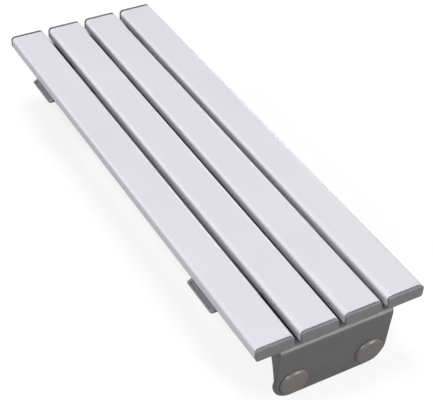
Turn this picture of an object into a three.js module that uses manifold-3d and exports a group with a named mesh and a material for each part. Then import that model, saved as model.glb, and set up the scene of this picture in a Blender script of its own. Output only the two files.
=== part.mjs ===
// Bath board: four hollow plastic slats on two crossbars, with a sliding bracket under each end.
// Millimetres, +Z up. X is the board's width and Y its length.
// The origin is on the floor, under the middle of the board as it stands on its two brackets.
// Each end is modelled as the near end, which faces -Y, and the far end is that end turned round.

import * as THREE from "three";
import { mergeVertices } from "three/addons/utils/BufferGeometryUtils.js";
import Module from "manifold-3d";

const wasm = await Module();
wasm.setup();

// Board and slats
const boardLength = 685;
const slatCount = 4;
const slatWidth = 48;
const slatHeight = 17;
const slatGap = 9.2;
const slatTopRadius = 5;
const slatBottomRadius = 3.5;
const slatWall = 2.2;
const slatWebCount = 2;
const slatWeb = 1.8;
const cellRadius = 1;

// End caps
const capFlange = 4;
const capEdgeRadius = 1;
const plugLength = 16;
const plugWall = 1.6;
const plugLeadIn = 0.8;

// Crossbars
const barInset = 88.6;
const barWidth = 57.8;
const barHeight = 5;
const barReach = 4.5;
const barNeckInset = 0.8;
const barNeckStep = 0.4;
const barNeckHeight = 0.8;
const barLipHeight = 1.2;
const barCornerRadius = 3;
const barPanelWidth = 3.6;
const barPanelDepth = 0.8;
const barPanelMargin = 4.2;
const cheekHeight = 3.5;
const cheekThickness = 4;

// Sliding brackets
const armMargin = 24.5;
const armThickness = 4;
const plateSetback = 3.4;
const plateWidth = 152;
const plateHeight = 87;
const plateThickness = 4;
const plateLean = THREE.MathUtils.degToRad(4.2);
const foldRadius = 9;
const lobeRadius = 25;
const lobeRimWidth = 3.5;
const lobeRimHeight = 1.4;
const gussetThickness = 3.5;
const gussetDepth = 26;
const gussetHeight = 54;
const ribThickness = 2.6;
const ribDepth = 15;
const ribHeight = 33;
const slideTravel = 80;

// Shares of a web's height and depth at its hollow, and of the plate's thickness at its foot and its root
const webBendShare = 0.42;
const webWaistShare = 0.5;
const webFootShare = 0.9;
const webRootShare = 0.85;

// Rubber buffers, which press on the bath
const bufferDiameter = 38;
const bufferHeight = 3.6;
const bufferEdgeRadius = 3.1;
const stemDiameter = 9.4;
const barbDiameter = 14;
const barbLength = 4.5;
const barbTipDiameter = 8;
const barbTaperShare = 0.65;

// Screws that hold the slats
const screwDiameter = 4;
const screwLength = 14;
const screwHeadDiameter = 8;
const screwHeadHeight = 2.2;
const screwTip = 2.5;
const screwSpacing = 36;
const recessDiameter = 2.6;
const recessDepth = 1.4;

// Clamp bolts, washers and knobs
const boltDiameter = 6;
const boltHeadDiameter = 14;
const boltHeadHeight = 2.2;
const boltNeckSide = 6.4;
const boltRunOut = 1.5;
const washerDiameter = 16;
const washerThickness = 1.5;
const insertAcrossFlats = 10;
const insertLength = 8;
const knobDiameter = 34;
const knobHeight = 13;
const knobHubDiameter = 18;
const knobHubHeight = 3;
const knobLobes = 5;
const knobLobeDepth = 3.6;
const knobEdgeRadius = 2.4;

// Clearances: between faces that seat or slide, round a shaft, and round the arm in its guides
const seatGap = 0.3;
const boreGap = 0.25;
const guideGap = 0.6;
const overrun = 1;

// Facets of a rounded corner, a round edge and a full circle
const cornerSteps = 4;
const smallCornerSteps = 1;
const edgeSteps = 2;
const bendSteps = 6;
const roundSides = 28;
const smallSides = 12;
const knobSides = 40;
const hexSides = 6;

// Heights, from the floor up
const armTop = plateHeight * Math.cos(plateLean);
const armBottom = armTop - armThickness;
const barBottom = armTop + seatGap;
const barTop = barBottom + barHeight;
const slatBottom = barTop + seatGap;
const washerBottom = armBottom - seatGap - washerThickness;
const knobTop = washerBottom - seatGap;
const knobBottom = knobTop - knobHeight;

// Places along and across the board
const pitch = slatWidth + slatGap;
const boardWidth = slatCount * slatWidth + (slatCount - 1) * slatGap;
const boardEnd = boardLength / 2;
const slatLength = boardLength - 2 * (capFlange + seatGap);
const barY = boardEnd - barInset - barWidth / 2;
const armReach = boardEnd - barY + armMargin;
const slatX = (index) => (index - (slatCount - 1) / 2) * pitch;
const clampX = slatX(slatCount / 2);
const cellCount = slatWebCount + 1;
const cellWidth = (slatWidth - 2 * slatWall - slatWebCount * slatWeb) / cellCount;
const cellHeight = slatHeight - 2 * slatWall;
const cellX = (cell) => (cell - (cellCount - 1) / 2) * (cellWidth + slatWeb);

// Finishes
const finish = (color, roughness, metalness = 0) => ({ color, roughness, metalness });
const slatPlastic = finish(0xdfdee6, 0.42);
const capPlastic = finish(0x6f6d71, 0.5);
const bracketPlastic = finish(0x636163, 0.5);
const bufferRubber = finish(0x716d69, 0.75);
const knobPlastic = finish(0x4a494b, 0.45);
const zincSteel = finish(0xb9bbbd, 0.35, 0.9);
const brass = finish(0xb59a55, 0.35, 0.9);

// A flat outline of a bar's section, standing on zero, with its own radius at the top and at the bottom.
function sectionOutline(width, height, topRadius, bottomRadius, steps = cornerSteps) {
  const right = width / 2;
  const corners = [
    [right - topRadius, height - topRadius, topRadius],
    [topRadius - right, height - topRadius, topRadius],
    [bottomRadius - right, bottomRadius, bottomRadius],
    [right - bottomRadius, bottomRadius, bottomRadius],
  ];
  return corners.flatMap(([x, y, radius], quarter) =>
    Array.from({ length: steps + 1 }, (_, step) => {
      const angle = ((quarter + step / steps) * Math.PI) / 2;
      return new THREE.Vector2(x + radius * Math.cos(angle), y + radius * Math.sin(angle));
    }),
  );
}

// The same outline with its centre on zero.
function centredOutline(width, height, radius, steps = cornerSteps) {
  return sectionOutline(width, height, radius, radius, steps).map(
    (point) => new THREE.Vector2(point.x, point.y - height / 2),
  );
}

// A closed skin through a stack of outlines, each with as many points as the next.
function loft(rings) {
  const count = rings[0].outline.length;
  const positions = rings.flatMap(({ outline, at }) => outline.flatMap(({ x, y }) => [x, y, at]));
  const index = [];
  for (let ring = 0; ring + 1 < rings.length; ring += 1) {
    for (let point = 0; point < count; point += 1) {
      const a = ring * count + point;
      const b = ring * count + ((point + 1) % count);
      index.push(a, b, b + count, a, b + count, a + count);
    }
  }
  const top = (rings.length - 1) * count;
  for (const [a, b, c] of THREE.ShapeUtils.triangulateShape(rings[0].outline, [])) index.push(a, c, b);
  for (const [a, b, c] of THREE.ShapeUtils.triangulateShape(rings.at(-1).outline, [])) {
    index.push(top + a, top + b, top + c);
  }
  const geometry = new THREE.BufferGeometry();
  geometry.setAttribute("position", new THREE.Float32BufferAttribute(positions, 3));
  geometry.setIndex(index);
  return geometry;
}

// A straight bar of one outline, from one height to another.
function bar(outline, from, to) {
  return loft([
    { outline, at: from },
    { outline, at: to },
  ]);
}

// A shape's outline and holes, drawn out to a length.
function extruded(shape, length, curveSegments = roundSides / 4) {
  return new THREE.ExtrudeGeometry(shape, { depth: length, bevelEnabled: false, curveSegments });
}

// A turned piece: radii and heights from the lower end on the axis to the upper end on the axis.
function turned(profile, sides = roundSides) {
  const points = profile.map(([radius, height]) => new THREE.Vector2(radius, height));
  return new THREE.LatheGeometry(points, sides).rotateX(Math.PI / 2);
}

function rod(radius, from, to, sides = roundSides) {
  return turned([[0, from], [radius, from], [radius, to], [0, to]], sides);
}

function block(width, depth, height) {
  return new THREE.BoxGeometry(width, depth, height);
}

// Between a geometry and a solid that can be cut and joined.
function solid(geometry) {
  const bare = geometry.clone();
  bare.deleteAttribute("normal");
  bare.deleteAttribute("uv");
  const merged = mergeVertices(bare);
  return new wasm.Manifold(
    new wasm.Mesh({
      numProp: 3,
      vertProperties: merged.attributes.position.array,
      triVerts: new Uint32Array(merged.index.array),
    }),
  );
}

function geometryOf(made) {
  const mesh = made.getMesh();
  const geometry = new THREE.BufferGeometry();
  geometry.setAttribute("position", new THREE.BufferAttribute(new Float32Array(mesh.vertProperties), 3));
  geometry.setIndex(new THREE.BufferAttribute(new Uint32Array(mesh.triVerts), 1));
  return geometry;
}

const joined = (pieces) => pieces.map(solid).reduce((whole, piece) => whole.add(piece));
const cut = (whole, cutters) => cutters.map(solid).reduce((left, cutter) => left.subtract(cutter), whole);

// Ways to lay a flat outline: its height becomes -Y, or X.
const layAlongY = new THREE.Matrix4().makeBasis(
  new THREE.Vector3(1, 0, 0),
  new THREE.Vector3(0, 0, 1),
  new THREE.Vector3(0, -1, 0),
);
const layAlongX = new THREE.Matrix4().makeBasis(
  new THREE.Vector3(0, 1, 0),
  new THREE.Vector3(0, 0, 1),
  new THREE.Vector3(1, 0, 0),
);

const bathBoard = new THREE.Group();
const nearEnd = new THREE.Group();
const farEnd = new THREE.Group();
farEnd.rotation.z = Math.PI;
bathBoard.add(nearEnd, farEnd);
const ends = [
  ["near", nearEnd],
  ["far", farEnd],
];
const sides = [
  ["left", -1],
  ["right", 1],
];
const slatXIn = (group, index) => (group === nearEnd ? slatX(index) : -slatX(index));

function place(parent, name, geometry, look, x = 0, y = 0, z = 0) {
  const material = new THREE.MeshStandardMaterial({ flatShading: true, ...look });
  const mesh = new THREE.Mesh(geometry, material);
  mesh.name = name;
  mesh.position.set(x, y, z);
  parent.add(mesh);
  return mesh;
}

// Slats: extruded hollow sections with a web between each two cells, drilled below for their screws.
const slatOutline = sectionOutline(slatWidth, slatHeight, slatTopRadius, slatBottomRadius);
const slatSection = new THREE.Shape(slatOutline);
for (let cell = 0; cell < cellCount; cell += 1) {
  const hole = centredOutline(cellWidth, cellHeight, cellRadius, smallCornerSteps).map(
    (point) => new THREE.Vector2(point.x + cellX(cell), point.y + slatHeight / 2),
  );
  slatSection.holes.push(new THREE.Path(hole.reverse()));
}
const screwYs = [-barY, barY].flatMap((y) => [y - screwSpacing / 2, y + screwSpacing / 2]);
const screwHole = rod(screwDiameter / 2 + boreGap, -overrun, slatWall + overrun, smallSides);
const slatTube = extruded(slatSection, slatLength).applyMatrix4(layAlongY).translate(0, slatLength / 2, 0);
const slatSolid = cut(
  solid(slatTube),
  screwYs.map((y) => screwHole.clone().translate(0, y, 0)),
);
for (let index = 0; index < slatCount; index += 1) {
  place(bathBoard, `slat_${index + 1}`, geometryOf(slatSolid), slatPlastic, slatX(index), 0, slatBottom);
}

// End caps: a flange as wide as the slat, with its front edge rounded, and a hollow plug for each cell.
const flangeRings = [{ outline: slatOutline, at: 0 }];
for (let step = 0; step <= edgeSteps; step += 1) {
  const angle = ((step / edgeSteps) * Math.PI) / 2;
  const inset = capEdgeRadius * (1 - Math.cos(angle));
  const outline = sectionOutline(
    slatWidth - 2 * inset,
    slatHeight - 2 * inset,
    slatTopRadius - inset,
    slatBottomRadius - inset,
  ).map((point) => new THREE.Vector2(point.x, point.y + inset));
  flangeRings.push({ outline, at: capFlange - capEdgeRadius * (1 - Math.sin(angle)) });
}
const plugRings = (inset, radius, from) => {
  const size = [cellWidth - 2 * (boreGap + inset), cellHeight - 2 * (boreGap + inset)];
  return { outline: centredOutline(...size, radius, smallCornerSteps), at: from };
};
const plugCore = [cellWidth - 2 * (boreGap + plugWall), cellHeight - 2 * (boreGap + plugWall)];
const capPieces = [loft(flangeRings)];
const capHollows = [];
for (let cell = 0; cell < cellCount; cell += 1) {
  const plug = loft([
    plugRings(plugLeadIn, cellRadius / 2, -plugLength),
    plugRings(0, cellRadius, plugLeadIn - plugLength),
    plugRings(0, cellRadius, capFlange / 2),
  ]);
  capPieces.push(plug.translate(cellX(cell), slatHeight / 2, 0));
  const hollow = bar(centredOutline(...plugCore, cellRadius / 2, smallCornerSteps), -plugLength - overrun, 0);
  capHollows.push(hollow.translate(cellX(cell), slatHeight / 2, 0));
}
const capSolid = cut(joined(capPieces), capHollows);
const capGeometry = geometryOf(capSolid).applyMatrix4(layAlongY);
for (const [end, group] of ends) {
  for (let index = 0; index < slatCount; index += 1) {
    const where = [slatXIn(group, index), capFlange - boardEnd, slatBottom];
    place(group, `end_cap_${end}_${index + 1}`, capGeometry, capPlastic, ...where);
  }
}

// Crossbars: a flat bar under the slats that necks in below their edge and flares to a lip at each end.
// The flare has a shallow panel sunk in it, and two cheeks below guide the bracket's arm.
const neckLength = boardWidth - 2 * barNeckInset;
const neckWidth = barWidth - 2 * barNeckStep;
const lipLength = boardWidth + 2 * barReach;
const neckOutline = centredOutline(neckLength, neckWidth, barCornerRadius);
const lipOutline = centredOutline(lipLength, barWidth, barCornerRadius);
const barBody = loft([
  { outline: lipOutline, at: 0 },
  { outline: lipOutline, at: barLipHeight },
  { outline: neckOutline, at: barHeight - barNeckHeight },
  { outline: neckOutline, at: barHeight },
]);
const cheekX = plateWidth / 2 + guideGap + cheekThickness / 2;
const cheek = block(cheekThickness, neckWidth, cheekHeight + barLipHeight);
const flareRun = (lipLength - neckLength) / 2;
const flareRise = barHeight - barNeckHeight - barLipHeight;
const flareAngle = Math.atan2(flareRise, flareRun);
const panel = block(barPanelWidth, barWidth - 2 * barPanelMargin, 2 * barPanelDepth);
const screwProfile = (gap) => [
  [0, -overrun],
  [screwHeadDiameter / 2 + gap, -overrun],
  [screwHeadDiameter / 2 + gap, seatGap],
  [screwDiameter / 2 + gap, seatGap + screwHeadHeight],
  [screwDiameter / 2 + gap, barHeight + overrun],
  [0, barHeight + overrun],
];
const pocketBottom = barHeight - boltHeadHeight - seatGap;
const headPocket = rod(boltHeadDiameter / 2 + boreGap, pocketBottom, barHeight + overrun);
const neckHole = block(boltNeckSide + 2 * boreGap, boltNeckSide + 2 * boreGap, 2 * (barHeight + overrun));
const barCutters = [];
for (const [, side] of sides) {
  const flareMiddle = [(side * (lipLength - flareRun)) / 2, 0, barLipHeight + flareRise / 2];
  barCutters.push(panel.clone().rotateY(side * flareAngle).translate(...flareMiddle));
  barCutters.push(headPocket.clone().translate(side * clampX, 0, 0));
  barCutters.push(neckHole.clone().translate(side * clampX, 0, 0));
}
for (let index = 0; index < slatCount; index += 1) {
  for (const y of [-screwSpacing / 2, screwSpacing / 2]) {
    barCutters.push(turned(screwProfile(boreGap), smallSides).translate(slatX(index), y, 0));
  }
}
const cheekZ = (barLipHeight - cheekHeight) / 2;
const cheeks = sides.map(([, side]) => cheek.clone().translate(side * cheekX, 0, cheekZ));
const barGeometry = geometryOf(cut(joined([barBody, ...cheeks]), barCutters));
for (const [end, group] of ends) {
  place(group, `crossbar_${end}`, barGeometry, capPlastic, 0, -barY, barBottom);
}

// Slat screws: countersunk, driven up through the crossbar into the floor of each slat.
const screwSolid = cut(
  solid(
    turned(
      [
        [0, seatGap],
        [screwHeadDiameter / 2, seatGap],
        [screwDiameter / 2, seatGap + screwHeadHeight],
        [screwDiameter / 2, screwLength - screwTip],
        [0, screwLength],
      ],
      smallSides,
    ),
  ),
  [rod(recessDiameter / 2, 0, seatGap + recessDepth, hexSides)],
);
const screwGeometry = geometryOf(screwSolid);
const screwRows = [
  ["outer", -1],
  ["inner", 1],
];
for (const [end, group] of ends) {
  for (let index = 0; index < slatCount; index += 1) {
    for (const [row, side] of screwRows) {
      const where = [slatXIn(group, index), (side * screwSpacing) / 2 - barY, barBottom];
      place(group, `slat_screw_${end}_${index + 1}_${row}`, screwGeometry, zincSteel, ...where);
    }
  }
}

// Brackets: a flat arm that slides under the crossbar, folded down into a plate that leans in with the bath.
// y runs in from the board's end, and z is the height above the floor.
const onPlate = (down, inward) => [
  plateSetback + down * Math.sin(plateLean) + inward * Math.cos(plateLean),
  armTop - down * Math.cos(plateLean) + inward * Math.sin(plateLean),
];
const foldY = plateSetback + foldRadius * Math.tan(Math.PI / 4 + plateLean / 2);
const foldZ = armTop - foldRadius;
const angleShape = new THREE.Shape();
angleShape.moveTo(armReach, armTop);
angleShape.lineTo(foldY, armTop);
angleShape.absarc(foldY, foldZ, foldRadius, Math.PI / 2, Math.PI + plateLean, false);
angleShape.lineTo(...onPlate(plateHeight, 0));
angleShape.lineTo(...onPlate(plateHeight, plateThickness));
angleShape.absarc(foldY, foldZ, foldRadius - plateThickness, Math.PI + plateLean, Math.PI / 2, true);
angleShape.lineTo(armReach, armBottom);
angleShape.closePath();
const angleBody = extruded(angleShape, plateWidth).applyMatrix4(layAlongX).translate(-plateWidth / 2, 0, 0);

// A web in the corner between arm and plate, whose depth behind the plate's face tapers in a hollow curve.
function web(depth, height, thickness) {
  const curve = new THREE.QuadraticBezierCurve(
    new THREE.Vector2(armThickness, depth),
    new THREE.Vector2(height * webBendShare, depth * webWaistShare),
    new THREE.Vector2(height, plateThickness * webFootShare),
  );
  const rootDown = armThickness * webRootShare;
  const rootIn = plateThickness * webRootShare;
  const shape = new THREE.Shape([
    new THREE.Vector2(...onPlate(rootDown, depth)),
    ...curve.getPoints(bendSteps).map((point) => new THREE.Vector2(...onPlate(point.x, point.y))),
    new THREE.Vector2(...onPlate(height, rootIn)),
    new THREE.Vector2(...onPlate(rootDown, rootIn)),
  ]);
  return extruded(shape, thickness).applyMatrix4(layAlongX).translate(-thickness / 2, 0, 0);
}
const gusset = web(gussetDepth, gussetHeight, gussetThickness);
const rib = web(ribDepth, ribHeight, ribThickness);
const gussetX = (plateWidth - gussetThickness) / 2;
const bufferX = plateWidth / 2 - lobeRadius;

// The plate's own frame: X across, Y up the plate from its lower edge, Z out of its face.
const plateFrame = new THREE.Matrix4()
  .makeBasis(
    new THREE.Vector3(1, 0, 0),
    new THREE.Vector3(0, -Math.sin(plateLean), Math.cos(plateLean)),
    new THREE.Vector3(0, -Math.cos(plateLean), -Math.sin(plateLean)),
  )
  .setPosition(0, ...onPlate(plateHeight, 0));
const lobeRim = turned([
  [lobeRadius - lobeRimWidth, -plateThickness - lobeRimHeight],
  [lobeRadius, -plateThickness - lobeRimHeight],
  [lobeRadius, -plateThickness / 2],
  [lobeRadius - lobeRimWidth, -plateThickness / 2],
  [lobeRadius - lobeRimWidth, -plateThickness - lobeRimHeight],
]);
const stemHole = rod(stemDiameter / 2 + boreGap, -plateThickness - overrun, overrun);
const corner = new THREE.Shape();
corner.moveTo(bufferX, -overrun);
corner.lineTo(plateWidth / 2 + overrun, -overrun);
corner.lineTo(plateWidth / 2 + overrun, lobeRadius);
corner.lineTo(plateWidth / 2, lobeRadius);
corner.absarc(bufferX, lobeRadius, lobeRadius, 0, -Math.PI / 2, true);
corner.closePath();
const cornerDepth = plateThickness + 2 * overrun;
const cornerCutter = extruded(corner, cornerDepth, roundSides / 2).translate(0, 0, -plateThickness - overrun);
const armSlot = new THREE.Shape();
const slotRadius = boltDiameter / 2 + 2 * boreGap;
const slotNear = boardEnd - barY - slideTravel;
const slotFar = boardEnd - barY;
armSlot.absarc(0, slotFar, slotRadius, 0, Math.PI, false);
armSlot.absarc(0, slotNear, slotRadius, Math.PI, 2 * Math.PI, false);
armSlot.closePath();
const slotCutter = extruded(armSlot, armThickness + 2 * overrun).translate(0, 0, armBottom - overrun);

const bracketPieces = [angleBody, rib];
const bracketCutters = [];
for (const [, side] of sides) {
  const turn = new THREE.Matrix4().makeRotationY(side < 0 ? Math.PI : 0);
  turn.setPosition(0, 0, side < 0 ? -plateThickness : 0);
  bracketPieces.push(gusset.clone().translate(side * gussetX, 0, 0));
  bracketPieces.push(rib.clone().translate(side * bufferX, 0, 0));
  bracketPieces.push(lobeRim.clone().translate(side * bufferX, lobeRadius, 0).applyMatrix4(plateFrame));
  bracketCutters.push(cornerCutter.clone().applyMatrix4(turn).applyMatrix4(plateFrame));
  bracketCutters.push(stemHole.clone().translate(side * bufferX, lobeRadius, 0).applyMatrix4(plateFrame));
  bracketCutters.push(slotCutter.clone().translate(side * clampX, 0, 0));
}
const bracketGeometry = geometryOf(cut(joined(bracketPieces), bracketCutters)).translate(0, -boardEnd, 0);
for (const [end, group] of ends) place(group, `bracket_${end}`, bracketGeometry, bracketPlastic);

// Rubber buffers: a round pad with a rounded edge, held by its own stem and barb through the plate.
const bufferEdge = Array.from({ length: edgeSteps + 1 }, (_, step) => {
  const angle = ((step / edgeSteps) * Math.PI) / 2;
  return [
    bufferDiameter / 2 - bufferEdgeRadius * (1 - Math.cos(angle)),
    seatGap + bufferHeight - bufferEdgeRadius * (1 - Math.sin(angle)),
  ];
});
const barbBack = -plateThickness - seatGap;
const bufferGeometry = turned([
  [0, barbBack - barbLength],
  [barbTipDiameter / 2, barbBack - barbLength],
  [barbDiameter / 2, barbBack - barbLength * (1 - barbTaperShare)],
  [barbDiameter / 2, barbBack],
  [stemDiameter / 2, barbBack],
  [stemDiameter / 2, seatGap],
  [bufferDiameter / 2, seatGap],
  ...bufferEdge,
  [0, seatGap + bufferHeight],
]).applyMatrix4(new THREE.Matrix4().makeRotationX(Math.PI / 2 + plateLean));
const [bufferY, bufferZ] = onPlate(plateHeight - lobeRadius, 0);
for (const [end, group] of ends) {
  for (const [name, side] of sides) {
    const where = [side * bufferX, bufferY - boardEnd, bufferZ];
    place(group, `buffer_${end}_${name}`, bufferGeometry, bufferRubber, ...where);
  }
}

// Clamp bolts: a flat head in the crossbar, a square neck that stops it turning, and a shank to the knob.
const insertBottom = knobHeight - insertLength - knobHubHeight / 2;
const boltEnd = knobBottom + insertBottom - boltRunOut;
const boltNeckHeight = barHeight - boltHeadHeight;
const boltSolid = joined([
  rod(boltHeadDiameter / 2, barTop - boltHeadHeight, barTop),
  block(boltNeckSide, boltNeckSide, boltNeckHeight).translate(0, 0, barBottom + boltNeckHeight / 2),
  rod(boltDiameter / 2, boltEnd, barTop - boltHeadHeight / 2),
]);
const washerSection = [
  [boltDiameter / 2 + boreGap, washerBottom],
  [washerDiameter / 2, washerBottom],
  [washerDiameter / 2, washerBottom + washerThickness],
  [boltDiameter / 2 + boreGap, washerBottom + washerThickness],
  [boltDiameter / 2 + boreGap, washerBottom],
];

// Knobs: a lobed grip with a hub, moulded round a hexagonal threaded insert.
const knobOutline = (inset) =>
  Array.from({ length: knobSides }, (_, point) => {
    const angle = (2 * Math.PI * point) / knobSides;
    const radius = knobDiameter / 2 - inset - (knobLobeDepth * (1 + Math.cos(knobLobes * angle))) / 2;
    return new THREE.Vector2(radius * Math.cos(angle), radius * Math.sin(angle));
  });
const knobRings = [];
const gripHeight = knobHeight - knobHubHeight;
for (let step = 0; step <= edgeSteps; step += 1) {
  const angle = ((step / edgeSteps) * Math.PI) / 2;
  const rise = knobEdgeRadius * (1 - Math.cos(angle));
  knobRings.push({ outline: knobOutline(knobEdgeRadius * (1 - Math.sin(angle))), at: rise });
}
knobRings.push({ outline: knobOutline(0), at: gripHeight - knobEdgeRadius / 2 });
knobRings.push({ outline: knobOutline(knobEdgeRadius / 2), at: gripHeight });
const hexRadius = (flats) => flats / Math.sqrt(3);
const knobSolid = cut(joined([loft(knobRings), rod(knobHubDiameter / 2, gripHeight / 2, knobHeight)]), [
  rod(hexRadius(insertAcrossFlats) + boreGap, insertBottom - seatGap, knobHeight + overrun, hexSides),
  rod(boltDiameter / 2 + boreGap, knobEdgeRadius / 2, knobHeight, smallSides),
]);
const insertBlank = rod(hexRadius(insertAcrossFlats), insertBottom, insertBottom + insertLength, hexSides);
const insertBore = rod(boltDiameter / 2 + boreGap, 0, knobHeight + overrun, smallSides);
const insertSolid = cut(solid(insertBlank), [insertBore]);
for (const [end, group] of ends) {
  for (const [name, side] of sides) {
    const where = [side * clampX, -barY];
    place(group, `clamp_bolt_${end}_${name}`, geometryOf(boltSolid), zincSteel, ...where);
    place(group, `clamp_washer_${end}_${name}`, turned(washerSection), zincSteel, ...where);
    place(group, `clamp_knob_${end}_${name}`, geometryOf(knobSolid), knobPlastic, ...where, knobBottom);
    place(group, `knob_insert_${end}_${name}`, geometryOf(insertSolid), brass, ...where, knobBottom);
  }
}

export default bathBoard;
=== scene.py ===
import math

import bmesh
import bpy
from mathutils import Matrix, Vector


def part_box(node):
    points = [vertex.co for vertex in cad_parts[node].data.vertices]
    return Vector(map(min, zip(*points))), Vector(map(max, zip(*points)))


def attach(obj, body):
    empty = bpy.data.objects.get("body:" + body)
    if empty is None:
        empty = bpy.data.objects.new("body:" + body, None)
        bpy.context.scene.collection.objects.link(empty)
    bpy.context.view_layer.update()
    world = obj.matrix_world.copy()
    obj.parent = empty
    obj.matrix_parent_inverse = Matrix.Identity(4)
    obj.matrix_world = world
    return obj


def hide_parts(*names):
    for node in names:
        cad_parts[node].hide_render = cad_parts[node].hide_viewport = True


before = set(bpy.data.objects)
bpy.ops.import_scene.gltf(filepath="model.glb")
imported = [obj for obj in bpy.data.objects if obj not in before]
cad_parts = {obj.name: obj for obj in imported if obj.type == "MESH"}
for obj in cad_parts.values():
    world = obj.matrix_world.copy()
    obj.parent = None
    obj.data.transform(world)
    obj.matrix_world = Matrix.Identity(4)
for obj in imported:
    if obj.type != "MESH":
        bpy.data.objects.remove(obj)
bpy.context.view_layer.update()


# Camera
# A long lens ahead of the board's near end, to its left and above it, where the photograph was taken.
# Its place, its turn and its focal length were fitted to the slats' edges and the bracket's corners.
mm = 0.001
picture_width = 433
focal_pixels = 1160.5
film_width = 36
camera_place = Vector((-584.2, -1026.5, 1004.0)) * mm
camera_heading = math.radians(-31.297)
camera_tilt = math.radians(90 - 39.764)
camera_roll = math.radians(2.907)

bpy.ops.object.camera_add(location=camera_place)
camera = bpy.context.active_object
camera.name = "camera_at_near_end"
camera.rotation_euler = (
    Matrix.Rotation(camera_heading, 4, "Z")
    @ Matrix.Rotation(camera_tilt, 4, "X")
    @ Matrix.Rotation(camera_roll, 4, "Z")
).to_euler()
camera.data.sensor_width = film_width
camera.data.lens = focal_pixels / picture_width * film_width
bpy.context.scene.camera = camera
bpy.context.scene.view_settings.view_transform = "Standard"


# Studio
# A matt pale floor in a white room, with five softboxes and a strip light. The floor glows white where it
# is seen, and fully so from 1.8 m out. In one long patch that shows through the gaps between the slats,
# the glow fades out and the floor's colour is painted dark grey: a painted shadow of the board.
floor_width = 16.0
floor_drop = 0.2 * mm
floor_seen = "909090"
# Painted shadow: the dark grey that the floor's colour takes in the long patch under the board.
painted_shadow_grey = "484848"
floor_bounce = "5c5c5c"
floor_glow_near = 0.80
floor_glow_far = 1.0
near_floor = 0.7
far_floor = 1.8
floor_in_gloss = 0.25
# Where the painted shadow lies on the floor, its half size, and how far its edge fades out.
painted_shadow_middle = Vector((60, 120, 0)) * mm
painted_shadow_half_size = Vector((45, 330, 0)) * mm
painted_shadow_fade = Vector((90, 50, 1000)) * mm
room_white_level = 1.0
room_light = 0.15
light_target = Vector((0, -60, 80)) * mm


def linear(colour):
    """An sRGB colour such as "dfdee6" as linear red, green, blue and alpha."""
    channels = [int(colour[place : place + 2], 16) / 255 for place in (0, 2, 4)]
    return [c / 12.92 if c <= 0.04045 else ((c + 0.055) / 1.055) ** 2.4 for c in channels] + [1.0]


def add_node(tree, kind, settings=None, inputs=None):
    """One node with its settings; each input takes a value, or the output that feeds it."""
    node = tree.nodes.new(kind)
    for name, value in (settings or {}).items():
        setattr(node, name, value)
    for name, value in (inputs or {}).items():
        if isinstance(value, bpy.types.NodeSocket):
            tree.links.new(value, node.inputs[name])
        else:
            node.inputs[name].default_value = value
    return node


def seen_directly(tree, gloss_share):
    """One for a ray from the camera or through glass, a share for one off a gloss, and zero for others."""
    rays = add_node(tree, "ShaderNodeLightPath").outputs
    straight = add_node(
        tree,
        "ShaderNodeMath",
        {"operation": "MAXIMUM"},
        {0: rays["Is Camera Ray"], 1: rays["Is Transmission Ray"]},
    )
    return add_node(
        tree,
        "ShaderNodeMath",
        {"operation": "MULTIPLY_ADD", "use_clamp": True},
        {0: rays["Is Glossy Ray"], 1: gloss_share, 2: straight.outputs[0]},
    ).outputs[0]


room = bpy.data.worlds.new("white_room")
bpy.context.scene.world = room
room.use_nodes = True
room.node_tree.nodes.clear()
room_glow = add_node(
    room.node_tree, "ShaderNodeBackground", inputs={"Color": linear("ffffff"), "Strength": room_light}
)
room_white = add_node(
    room.node_tree, "ShaderNodeBackground", inputs={"Color": linear("ffffff"), "Strength": room_white_level}
)
room_mix = add_node(
    room.node_tree,
    "ShaderNodeMixShader",
    inputs={
        0: seen_directly(room.node_tree, room_white_level),
        1: room_glow.outputs[0],
        2: room_white.outputs[0],
    },
)
add_node(room.node_tree, "ShaderNodeOutputWorld", inputs={"Surface": room_mix.outputs[0]})

# Matt emulsion, which scatters the light with no gloss, and a glow that makes it white where it is seen.
# In the patch under the board its colour is painted darker and its glow fades out, as a painted shadow.
floor_finish = bpy.data.materials.new("matt_emulsion_floor")
floor_finish.use_nodes = True
floor_tree = floor_finish.node_tree
floor_tree.nodes.clear()
floor_view = seen_directly(floor_tree, floor_in_gloss)
floor_place = add_node(floor_tree, "ShaderNodeTexCoord").outputs["Object"]
from_painted_shadow = add_node(
    floor_tree, "ShaderNodeVectorMath", {"operation": "SUBTRACT"}, {0: floor_place, 1: painted_shadow_middle}
)
to_one_side = add_node(
    floor_tree, "ShaderNodeVectorMath", {"operation": "ABSOLUTE"}, {0: from_painted_shadow.outputs[0]}
)
beyond_painted_shadow = add_node(
    floor_tree,
    "ShaderNodeVectorMath",
    {"operation": "SUBTRACT"},
    {0: to_one_side.outputs[0], 1: painted_shadow_half_size},
)
outside = add_node(
    floor_tree, "ShaderNodeVectorMath", {"operation": "MAXIMUM"}, {0: beyond_painted_shadow.outputs[0], 1: (0, 0, 0)}
)
faded = add_node(
    floor_tree, "ShaderNodeVectorMath", {"operation": "DIVIDE"}, {0: outside.outputs[0], 1: painted_shadow_fade}
)
distance = add_node(floor_tree, "ShaderNodeVectorMath", {"operation": "LENGTH"}, {0: faded.outputs[0]})
spread = add_node(
    floor_tree,
    "ShaderNodeMapRange",
    {"interpolation_type": "SMOOTHSTEP"},
    {"Value": distance.outputs["Value"]},
)
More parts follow.
